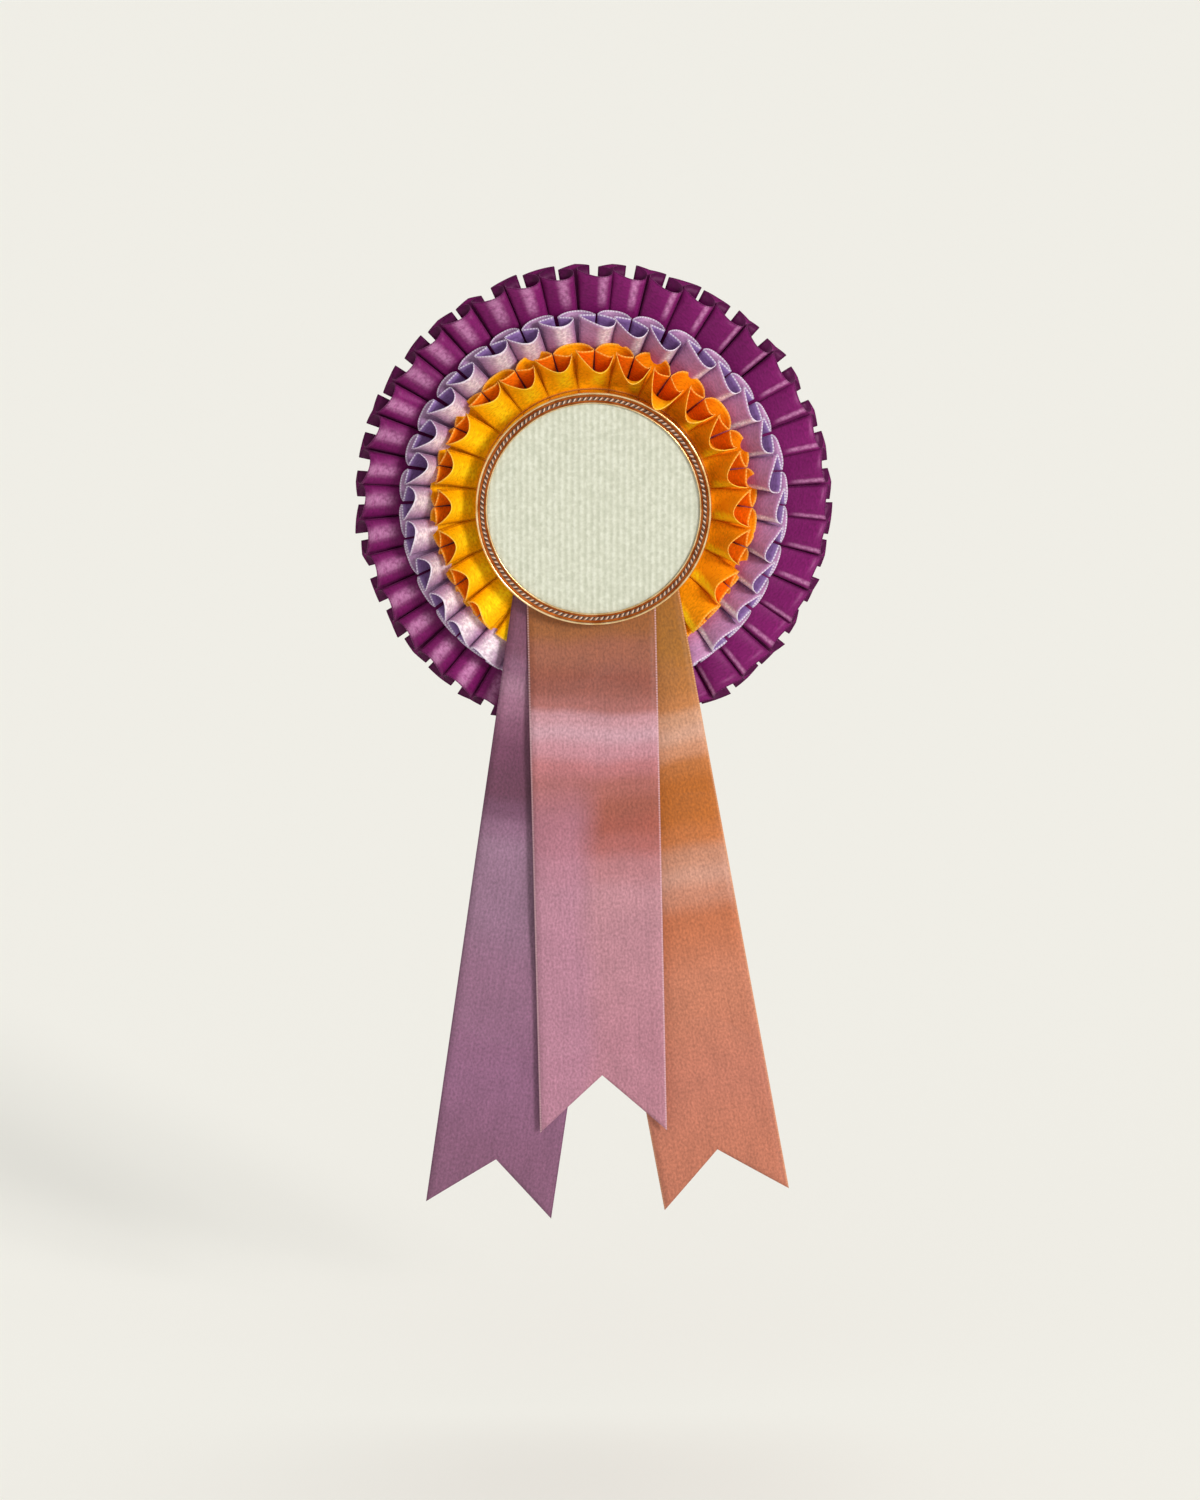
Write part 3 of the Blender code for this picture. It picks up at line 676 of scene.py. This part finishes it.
    # the ribbon keeps its width: its run is added up along a curve that tilts more and more
    forward, outward = 0.0, 0.0
    for place, weight in GAUSS:
        slope = add(
            MATH,
            tilt,
            add(MATH, add(MATH, free, place, operation="MULTIPLY"), want["Curl"], operation="POWER"),
            operation="MULTIPLY",
        )
        forward = add(MATH, add(MATH, slope, operation="SINE"), weight, forward, operation="MULTIPLY_ADD")
        outward = add(MATH, add(MATH, slope, operation="COSINE"), weight, outward, operation="MULTIPLY_ADD")
    run = add(MATH, free, free_width, operation="MULTIPLY")
    forward, outward = add(MATH, forward, run, operation="MULTIPLY"), add(MATH, outward, run, operation="MULTIPLY")
    taken = add(
        MATH,
        add(MATH, want["Take up"], spread, operation="MULTIPLY"),
        add(MATH, lift, openness, operation="MULTIPLY"),
        operation="MULTIPLY",
    )
    taken = add(MATH, taken, add(MATH, free, 2.0, operation="POWER"), operation="MULTIPLY")
    saw = add(
        MATH,
        add(MATH, offset, operation="SIGN"),
        chance["near side"],
        chance["both sides"],
        operation="MULTIPLY_ADD",
    )
    saw = add(
        MATH,
        add(MATH, saw, add(MATH, parting, operation="ABSOLUTE"), operation="MULTIPLY"),
        add(MATH, free, want["Saw"], operation="MULTIPLY"),
        operation="MULTIPLY",
    )
    stitched = add(
        MATH, add(MATH, share, want["Flat share"], operation="MINIMUM"), want["Ribbon width"], operation="MULTIPLY",
    )
    radius = add(
        MATH,
        add(MATH, want["Stitched radius"], stitched, operation="ADD"),
        add(MATH, outward, taken, operation="SUBTRACT"),
        operation="ADD",
    )
    radius = add(MATH, radius, saw, operation="ADD")
    y = add(
        MATH, want["Rear"], add(MATH, ply, want["Layer"], forward, operation="MULTIPLY_ADD"), operation="SUBTRACT",
    )
    place = add(
        "ShaderNodeCombineXYZ",
        add(MATH, radius, add(MATH, angle, operation="SINE"), operation="MULTIPLY"),
        y,
        add(MATH, radius, add(MATH, angle, operation="COSINE"), want["Centre height"], operation="MULTIPLY_ADD"),
    )
    shaped = add("GeometryNodeSetPosition", cloth, named={"Position": place})
    toned = add(
        "GeometryNodeStoreNamedAttribute",
        shaped,
        data_type="FLOAT",
        domain="POINT",
        named={"Name": "tone", "Value": add(MATH, chance["tone"], lift, operation="MULTIPLY")},
    )
    joined = add("GeometryNodeMergeByDistance", toned, named={"Distance": SATIN / 10})
    plain = add("GeometryNodeRealizeInstances", joined)
    tree.links.new(add("GeometryNodeSetMaterial", plain, named={"Material": want["Satin"]}), result.inputs[0])
    return tree


# per tier: pleats, ribbon width, cut length, the lip's folds and lifts, tree values
TIERS = {
    "outer": (
        40, 38.0 * MM, 850 * MM, (0.04, 0.46, 0.04, 0.2, 0.6),
        {
            "Lean": 0.01, "Opening": math.radians(16), "Curl": 1.0, "Take up": 2.7 * MM, "Parting": 0.085,
            "Saw": 0.7 * MM, "Narrow at": math.radians(105), "Narrow loss": 0.35, "Unevenness": 0.25,
            "Swing": 0.06, "Swirl": 0.02, "Slant": 0.5,
            "Open to": math.radians(150), "Flat from": math.radians(178), "Pressed": 0.5,
        },
    ),
    "middle": (
        32, 25.0 * MM, 790 * MM, (0.03, 0.455, 0.36, 0.46, 0.55),
        {
            "Lean": math.radians(8), "Opening": math.radians(54), "Curl": 1.0, "Take up": 0.6 * MM,
            "Wide at": math.radians(-80), "Wide gain": 0.16, "Narrow at": 0.0, "Narrow loss": 0.1,
            "Parting": 0.02, "Saw": 0.2 * MM, "Unevenness": 0.2, "Swing": 0.12, "Swirl": 0.1, "Slant": 0.55,
            "Open to": math.radians(122), "Flat from": math.radians(166), "Pressed": 0.1,
        },
    ),
    "inner": (
        24, 16.0 * MM, 720 * MM, (0.025, 0.44, 0.36, 0.5, 0.46),
        {
            "Lean": math.radians(11), "Opening": math.radians(68), "Curl": 0.42, "Take up": 0.0,
            "Wide at": math.radians(38), "Wide gain": 0.56, "Narrow at": math.radians(-80), "Narrow loss": 0.05,
            "Parting": 0.0, "Saw": 0.05 * MM, "Unevenness": 0.16, "Swing": 0.12, "Swirl": 0.08, "Slant": 0.3,
            "Open to": math.radians(117), "Flat from": math.radians(154), "Pressed": 0.04,
        },
    ),
}


def pleated_tier(name, look, tree):
    """One ribbon folded into box pleats and closed into a ring, as the CAD tier lies."""
    pleats, width, cut, lip, values = TIERS[name]
    rear = span(f"{name}_pleats", 1)[1]
    pleat = unit_pleat(f"{name} pleat", width, lip)
    tier = placed(f"{name}_satin_pleats")
    given = {
        "Pleat": pleat, "Pleats": pleats, "Stitched radius": STITCHED_EDGE,
        "Flat share": (FLAT_EDGE - STITCHED_EDGE) / width, "Ribbon width": width, "Rear": rear - SATIN / 2,
        "Layer": 1.1 * MM, "Centre height": CENTRE.z, "Seed": pleats, "Satin": look,
    }
    with_tree(tier, tree, {"Wide at": 0.0, "Wide gain": 0.0, **given, **values})
    bpy.data.objects.remove(pleat)
    tier.data.shade_smooth()
    solidified(tier, SATIN)
    claim(tier, f"{name}_pleats")


# ---------------------------------------------------------------- tails

TAIL_WIDTH = 38.0 * MM
# a tail's slight cupping across its width: its depth, the run of one radian of its wave, and where it is full
CUP, CUP_WAVE, CUPPED_FROM = 0.5 * MM, 34 * MM, 60 * MM
# top's middle, lean, length below the bend, notch depth, as the CAD tails lie
TAILS = {
    "right": (8.0 * MM, math.radians(10.4), 177.5 * MM, 16.0 * MM),
    "left": (-6.0 * MM, math.radians(-8.2), 179.5 * MM, 16.0 * MM),
    "centre": (-0.5 * MM, math.radians(1.3), 152.5 * MM, 17.5 * MM),
}
# how far each tail stands forward of its CAD layer, as (mm below the bend, mm forward)
DRAPES = {
    "right": [
        (-40, 0), (-6, 0), (8, 0.8), (22, 2.8), (36, 3.4), (54, 1.4), (72, 0.6), (92, 2.4), (125, 1.6), (190, 0.5),
    ],
    "left": [
        (-40, 0), (-6, 0), (8, 1.1), (22, 3.8), (36, 4.9), (54, 3.4), (72, 2.4), (100, 3.4), (140, 1.6), (190, 0.2),
    ],
    "centre": [
        (-40, 0), (-6, 0), (8, 1.6), (18, 4.8), (32, 7.0), (50, 5.6), (68, 4.8), (90, 5.4), (120, 3.8), (160, 2.2),
    ],
}


def smooth_through(points, x):
    """A smooth curve through (x, y) points, by Catmull-Rom."""
    for count in range(len(points) - 1):
        if x <= points[count + 1][0] or count == len(points) - 2:
            break
    (x1, y1), (x2, y2) = points[count], points[count + 1]
    x0, y0 = points[max(count - 1, 0)]
    x3, y3 = points[min(count + 2, len(points) - 1)]
    share = min(max((x - x1) / (x2 - x1), 0), 1)
    slope1 = (y2 - y0) / (x2 - x0) * (x2 - x1)
    slope2 = (y3 - y1) / (x3 - x1) * (x2 - x1)
    t2, t3 = share * share, share**3
    return (2 * t3 - 3 * t2 + 1) * y1 + (t3 - 2 * t2 + share) * slope1 + (3 * t2 - 2 * t3) * y2 + (t3 - t2) * slope2


def tail(name, look):
    """One tail from its fixed end under the button to its swallowtail, as one ribbon."""
    top_x, lean, length, notch = TAILS[name]
    layer = sum(span(f"{name}_tail", 1)) / 2
    start = -(TAB_TOP - BEND_Z) / math.cos(lean)
    columns, rows = 16, 110
    down = Vector((math.sin(lean), 0, -math.cos(lean)))
    across = Vector((math.cos(lean), 0, math.sin(lean)))
    origin = Vector((top_x, layer, BEND_Z))
    bm = bmesh.new()
    uv = bm.loops.layers.uv.new("ribbon")
    grid, where = [], {}
    for row in range(rows + 1):
        line = []
        for column in range(columns + 1):
            side = 2 * column / columns - 1
            end = length - notch * (1 - abs(side))
            reach = start + (end - start) * row / rows
            forward = smooth_through(DRAPES[name], reach / MM) * MM
            hang = min(max(reach / CUPPED_FROM, 0), 1)
            cup = (side * side - 0.4) * CUP * hang * math.sin(reach / CUP_WAVE + top_x / (4 * MM))
            place = origin + down * reach + across * side * TAIL_WIDTH / 2 + Vector((0, -forward + cup, 0))
            vert = bm.verts.new(place)
            where[vert] = (reach - start, (side + 1) * TAIL_WIDTH / 2)
            line.append(vert)
        grid.append(line)
    for here, there in zip(grid, grid[1:]):
        for column in range(columns):
            face = bm.faces.new((here[column], here[column + 1], there[column + 1], there[column]))
            for loop in face.loops:
                loop[uv].uv = where[loop.vert]
    mesh = mesh_of(bm, f"{name}_ribbon", [look], smooth=None)
    obj = placed(f"{name}_ribbon_tail", mesh)
    solidified(obj, SATIN)
    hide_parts(f"{name}_tab", f"{name}_tail")
    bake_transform(obj)


# ---------------------------------------------------------------- button


def turned_mesh(name, profile, looks, closed, faces_look=None, segments=192):
    """A solid of revolution about the button's axis, from (radius, y) points."""
    bm = bmesh.new()
    rings = []
    for radius, y in profile:
        if radius < 1e-9:
            rings.append([bm.verts.new((CENTRE.x, y, CENTRE.z))])
            continue
        ring = []
        for step in range(segments):
            angle = 2 * math.pi * step / segments
            ring.append(bm.verts.new((CENTRE.x + radius * math.sin(angle), y, CENTRE.z + radius * math.cos(angle))))
        rings.append(ring)
    pairs = list(zip(rings, rings[1:])) + ([(rings[-1], rings[0])] if closed else [])
    for count, (here, there) in enumerate(pairs):
        for step in range(segments):
            after = (step + 1) % segments
            corners = [
                here[step % len(here)],
                here[after % len(here)],
                there[after % len(there)],
                there[step % len(there)],
            ]
            face = bm.faces.new(list(dict.fromkeys(corners)))
            face.material_index = faces_look[count] if faces_look else 0
    return mesh_of(bm, name, looks)


def arc(centre, radius, start, end, steps):
    """Points of an arc in a (radius, y) profile, angles in degrees."""
    return [
        (
            centre[0] + radius * math.cos(math.radians(start + (end - start) * i / steps)),
            centre[1] + radius * math.sin(math.radians(start + (end - start) * i / steps)),
        )
        for i in range(steps + 1)
    ]


def face_disc(look):
    """The card disc with its front and rear edges eased."""
    low, high = span("face_card", 1)
    radius = (FACE_HIGH[0] - FACE_LOW[0]) / 2
    edge = 0.15 * MM
    profile = [(0, high), (radius - edge, high), (radius, high - edge), (radius, low + edge), (radius - edge, low)]
    profile += [(radius * share, low) for share in (0.75, 0.5, 0.25)] + [(0, low)]
    claim(placed("laid_face_disc", turned_mesh("laid_face_disc", profile, [look], False)), "face_card")


def gold_ring(gold, copper_and_groove_shade):
    """The ring: a bright outer bead, a copper-brown channel that the cord lies in, its brown partly painted shade
    of the groove, and a fine inner bead.
    """
    front, rear = RING_FRONT, RING_REAR
    seat = span("face_card", 1)[0] - 0.3 * MM
    outer = RING_RADIUS
    window = outer - 3.4 * MM
    inside = window + 1.2 * MM
    bead, fine = 0.36 * MM, 0.22 * MM
    floor = front + 0.42 * MM
    profile = [(inside, rear), (outer - 0.5 * MM, rear)]
    profile += arc((outer - 0.5 * MM, rear - 0.5 * MM), 0.5 * MM, 90, 0, 4)[1:]
    profile += arc((outer - bead, front + bead), bead, 0, -180, 9)
    metal_end = len(profile) - 1
    profile += [(outer - 2 * bead - 0.02 * MM, floor - 0.1 * MM)]
    profile += arc((outer - CORD_INSET, floor), 0.52 * MM, 0, 180, 6)
    profile += [(window + 2 * fine + 0.02 * MM, floor)]
    inner_start = len(profile) - 1
    profile += arc((window + fine, front + fine + 0.1 * MM), fine, 0, -180, 7)
    profile += [(window, seat), (inside, seat)]
    looks = [int(metal_end <= i <= inner_start) for i in range(len(profile))]
    claim(placed("gold_trim_ring", turned_mesh("gold_ring", profile, [gold, copper_and_groove_shade], True, looks)), "trim_ring")


def strand_tree():
    """One strand of a cord that is twisted about a ring."""
    tree, given, result = new_tree(
        "twisted strand",
        {
            "Twists": "Int", "Steps": "Int", "Sides": "Int", "Thread": "Material",
            **dict.fromkeys(
                ("Ring radius", "Lay radius", "Strand radius", "Phase", "Depth", "Centre height"), "Float"
            ),
        },
    )
    want = given.outputs
    add = functools.partial(put, tree)
    circle = add(
        "GeometryNodeCurvePrimitiveCircle",
        mode="RADIUS",
        named={"Resolution": want["Steps"], "Radius": want["Ring radius"]},
    )
    index = add("GeometryNodeInputIndex")
    angle = add(MATH, add(MATH, index, want["Steps"], operation="DIVIDE"), 2 * math.pi, operation="MULTIPLY")
    twist = add(MATH, angle, want["Twists"], want["Phase"], operation="MULTIPLY_ADD")
    radius = add(
        MATH,
        add(MATH, twist, operation="COSINE"),
        want["Lay radius"],
        want["Ring radius"],
        operation="MULTIPLY_ADD",
    )
    place = add(
        "ShaderNodeCombineXYZ",
        add(MATH, radius, add(MATH, angle, operation="SINE"), operation="MULTIPLY"),
        add(MATH, add(MATH, twist, operation="SINE"), want["Lay radius"], want["Depth"], operation="MULTIPLY_ADD"),
        add(MATH, radius, add(MATH, angle, operation="COSINE"), want["Centre height"], operation="MULTIPLY_ADD"),
    )
    moved = add("GeometryNodeSetPosition", circle, named={"Position": place})
    section = add(
        "GeometryNodeCurvePrimitiveCircle",
        mode="RADIUS",
        named={"Resolution": want["Sides"], "Radius": want["Strand radius"]},
    )
    strand = add("GeometryNodeCurveToMesh", moved, named={"Profile Curve": section})
    plain = add("GeometryNodeRealizeInstances", strand)
    tree.links.new(add("GeometryNodeSetMaterial", plain, named={"Material": want["Thread"]}), result.inputs[0])
    return tree


def twisted_cord(looks):
    """Three plies of metallic thread twisted together, lying in the ring's channel."""
    tree = strand_tree()
    lay, strand, twists, steps_per_twist = 0.27 * MM, 0.24 * MM, 132, 9
    middle = RING_RADIUS - CORD_INSET
    parts = []
    for count, look in enumerate(looks):
        obj = placed(f"ply {count}")
        with_tree(
            obj, tree,
            {
                "Ring radius": middle, "Lay radius": lay, "Strand radius": strand, "Twists": twists,
                "Phase": 2 * math.pi * count / len(looks), "Steps": twists * steps_per_twist, "Sides": 7,
                "Depth": RING_FRONT + 0.35 * MM, "Centre height": CENTRE.z, "Thread": look,
            },
        )
        parts.append(obj)
    bm = bmesh.new()
    for count, part in enumerate(parts):
        before = len(bm.faces)
        bm.from_mesh(part.data)
        bm.faces.ensure_lookup_table()
        for face in bm.faces[before:]:
            face.material_index = count
            face.smooth = True
        bpy.data.objects.remove(part)
    claim(placed("twisted_trim_cord", mesh_of(bm, "twisted_cord", looks, smooth=None)), "trim_cord")


# ---------------------------------------------------------------- stage


def soft_sun(name, strength, spread, shines, colour):
    """A broad even light from one side; spread is its size in degrees and shines is where its light goes."""
    sun = bpy.data.lights.new(name, "SUN")
    sun.energy = strength
    sun.angle = math.radians(spread)
    sun.color = colour
    placed(name, sun).rotation_euler = Vector(shines).to_track_quat("-Z", "Y").to_euler()


FLOOR_HALF, FLOOR_DROP = 30, 60 * MM  # half the floor's width, and how far it lies below the tails
EYE_DISTANCE, EYE_RISE = 1.9, math.radians(12)  # camera from its aim, and how steeply it looks down
VIEW_HEIGHT = 446.7 * MM  # what the camera sees at its aim, along its longer side
AIM = Vector((1.9 * MM, -8 * MM, CENTRE.z - 75.5 * MM))


def stage():
    """A wide pale floor below the hanging rosette, a pale surround, three soft lights and the camera."""
    bm = bmesh.new()
    bmesh.ops.create_grid(bm, x_segments=1, y_segments=1, size=FLOOR_HALF)
    made, tree, bsdf = shader("pale floor")
    feed(tree, bsdf, Base_Color=rgb("#f4f3ee"), Roughness=0.9)
    floor = placed("floor", mesh_of(bm, "floor", [made]))
    floor.location.z = CAD_BOX[0][2] - FLOOR_DROP
    world = bpy.data.worlds.new("pale surround")
    world.use_nodes = True
    surround = world.node_tree.nodes["Background"].inputs
    surround["Color"].default_value = rgb("#f6f5f0")
    surround["Strength"].default_value = 0.6
    bpy.context.scene.world = world
    for name, strength, spread, shines, colour in (
        ("right window", 2.15, 16, (-0.6, 0.84, -0.3), (1.0, 0.985, 0.96)),
        ("left fill", 0.35, 40, (0.75, 0.66, 0.1), (0.97, 0.98, 1.0)),
        ("top light", 0.75, 60, (-0.15, -0.4, -0.9), (1.0, 1.0, 1.0)),
    ):
        soft_sun(name, strength, spread, shines, colour)
    camera = bpy.data.cameras.new("camera")
    camera.sensor_width = 36
    camera.lens = camera.sensor_width * EYE_DISTANCE / VIEW_HEIGHT
    camera.clip_start = 0.05
    away = Vector((0, -math.cos(EYE_RISE), math.sin(EYE_RISE)))
    eye = placed("camera", camera)
    eye.location = AIM + away * EYE_DISTANCE
    eye.rotation_euler = (-away).to_track_quat("-Z", "Y").to_euler()
    bpy.context.scene.camera = eye
    bpy.context.scene.view_settings.view_transform = "Standard"


# ---------------------------------------------------------------- build


def dress(look, *nodes):
    """Gives CAD nodes whose shape is right a finished material."""
    for name in nodes:
        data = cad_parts[name].data
        data.materials.clear()
        data.materials.append(look)


# each tail's colour along the ribbon as (mm from its fixed end, colour), pale and dark bands of painted highlight
# and shade for its drape, darker at the top as painted shadow; then its selvedge and its cooler side
TAIL_CLOTHS = (
    (
        "right",
        (
            (0, "#8f5812"), (33, "#98601a"), (44, "#a4662c"), (50, "#b0703e"), (54, "#c08c6e"), (59, "#c69680"),
            (64, "#c08464"), (69, "#b26a34"), (75, "#ab5f1e"), (84, "#ac6021"), (91, "#b66a38"), (97, "#ba8066"),
            (103, "#bf8b78"), (109, "#ba7c64"), (116, "#b56844"), (135, "#b67157"), (166, "#b26c58"),
            (190, "#b06a53"),
        ),
        ("#e8b088", 0.55),
        None,
    ),
    (
        "left",
        (
            (0, "#623349"), (33, "#6f4057"), (38, "#7c4f69"), (45, "#92667d"), (51, "#8b5b74"), (57, "#794862"),
            (63, "#6a3a54"), (75, "#61364c"), (81, "#6c445d"), (87, "#835c76"), (93, "#8a677f"), (111, "#86637b"),
            (134, "#855c76"), (164, "#825674"), (190, "#794e69"),
        ),
        ("#5a3350", 0.5),
        None,
    ),
    (
        "centre",
        (
            (0, "#844816"), (24, "#8d5326"), (31, "#8f533d"), (42, "#894c40"), (47, "#995c57"), (50.5, "#b3818a"),
            (55, "#ba8e9a"), (60, "#b57e89"), (65, "#ac6a6e"), (71, "#9e5c55"), (77, "#935042"), (83, "#964f43"),
            (89, "#9e5a56"), (96, "#a96f75"), (105, "#ad7a84"), (121, "#aa7783"), (157, "#a77180"),
        ),
        ("#dcb4bc", 0.65),
        ("#a4728a", 11, 21, 0.6),
    ),
)


def build():
    """Sets the stage, makes every visual piece and finishes the CAD pieces that show as they are."""
    stage()
    tree = pleat_tree()
    pleated_tier(
        "outer",
        pleat_satin(
            "purple polyester satin", 38 * MM, ("#6f1457", "#74175c"), "#4a043a", ("#3a0430", 0.6),
            ("#cf8fbb", 0.3, 0.1, 0.62, 0.68), ("#3f0430", 0.45, 0.55),
        ),
        tree,
    )
    pleated_tier(
        "middle",
        pleat_satin(
            "lilac polyester satin", 25 * MM, ("#ae84a8", "#b27ba6"), "#8766a4", ("#e6dcec", 0.85),
            ("#f6e8ee", 0.46, 0.14, 0.9, 0.45), ("#6d4470", 0.6, 0.1), ("#c05c80", 0.5, 0.85),
        ),
        tree,
    )
    pleated_tier(
        "inner",
        pleat_satin(
            "golden polyester satin", 16 * MM, ("#f0a806", "#fa920e"), "#ee740e", ("#fcc264", 0.75),
            ("#ffd218", 0.42, 0.22, 0.9, 0.15), ("#a04c06", 0.55, 0.25),
        ),
        tree,
    )
    for name, stops, selvedge, side in TAIL_CLOTHS:
        whole = TAILS[name][2] + (TAB_TOP - BEND_Z)
        tail(name, tail_satin(f"{name} tail satin", TAIL_WIDTH, stops, whole, selvedge, side))
    face_disc(laid_card())
    gold = plated("bright gold plate", "#e0b070", "#f6dcae", 0.24)
    # copper-brown metal for the ring's channel, its darkness partly painted shade of the groove
    copper_and_groove_shade = plated("copper and painted groove shade", "#8a3f14", "#b8642a", 0.38)
    gold_ring(gold, copper_and_groove_shade)
    twisted_cord(
        [
            thread_look("copper metallic thread", "#6e3d20", "#9c6238", 0.4, 0.42),
            thread_look("cream rayon thread", "#bda088", "#e4cdb8", 0.1, 0.45),
            thread_look("dark brown thread", "#1e0d06", "#42230f", 0.1, 0.55),
        ]
    )
    nickel = plated("satin nickel plate", "#9c9a96", "#c8c6c2", 0.26)
    dress(nickel, "pin_bar", "hinge_rivet", "safety_catch", "left_staple", "right_staple")
    dress(plated("polished needle steel", "#b0b0b0", "#d8d8d8", 0.14), "pin_needle")
    dress(board_look("white back card", "#d8d6ce", "#f0eee8"), "back_card", "button_back")
    dress(
        board_look("grey pulp board", "#7d766a", "#a59d8e"),
        "base_board",
        "middle_board",
        "inner_board",
        "core_board",
    )
    dress(board_look("white foam tape", "#cfcfca", "#ecece8", 2600.0), "adhesive_pad")
    for name, dark, light in (
        ("outer", "#4a0a38", "#7c2262"), ("middle", "#7a5a90", "#b08fb0"), ("inner", "#c05a06", "#eaa030"),
    ):
        dress(thread_look(f"{name} sewing thread", dark, light), f"{name}_stitching")


build()
